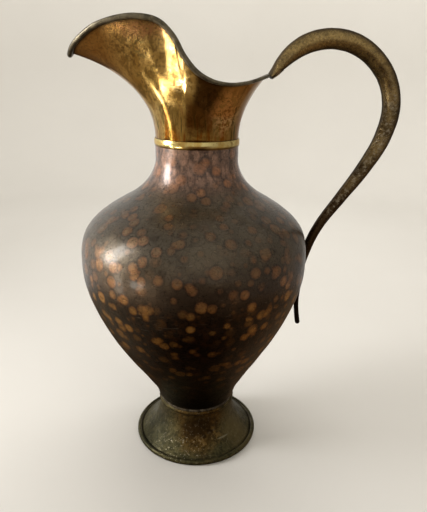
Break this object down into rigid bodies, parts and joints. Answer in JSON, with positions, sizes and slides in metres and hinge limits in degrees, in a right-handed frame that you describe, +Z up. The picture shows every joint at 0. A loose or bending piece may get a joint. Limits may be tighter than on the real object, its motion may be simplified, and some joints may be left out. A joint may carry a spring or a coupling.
{
  "type": "water jug",
  "caption": "Tall footed metal water jug with a round-shouldered copper body, a helmet-shaped brass spout with a wired rim, and a tapered tube handle that ends in a free tail.",
  "frame": {"origin": "on the jug's axis, at the plane that the foot stands on", "axes": "+Z up along the jug's axis, -X towards the spout's tip, +X towards the handle, Y across"},
  "size_m": [0.4985, 0.357, 0.6846],
  "materials": {
    "patinated_copper": "dark brown patina with copper-orange spots, satin gloss",
    "verdigris_brass": "green-grey tarnish worn to golden brown, satin",
    "bronze_wire": "dull olive bronze wire",
    "solder": "dull grey solder, crusty",
    "polished_brass": "bright polished brass band",
    "aged_brass": "polished brass with mottled amber and olive tarnish",
    "olive_bronze": "olive-brown tarnished bronze, chased surface, satin"
  },
  "bodies": {
    "root": {"body_lower": "patinated_copper", "body_upper": "patinated_copper", "foot": "verdigris_brass", "foot_edge_wire": "bronze_wire", "foot_collar": "verdigris_brass", "foot_solder": "solder", "neck_ring": "polished_brass", "neck_solder": "solder", "spout": "aged_brass", "rim_wire": "bronze_wire", "rim_tongue": "olive_bronze", "handle_tube": "olive_bronze", "handle_tip_plug": "olive_bronze", "belly_braze": "solder"}
  },
  "joints": []
}
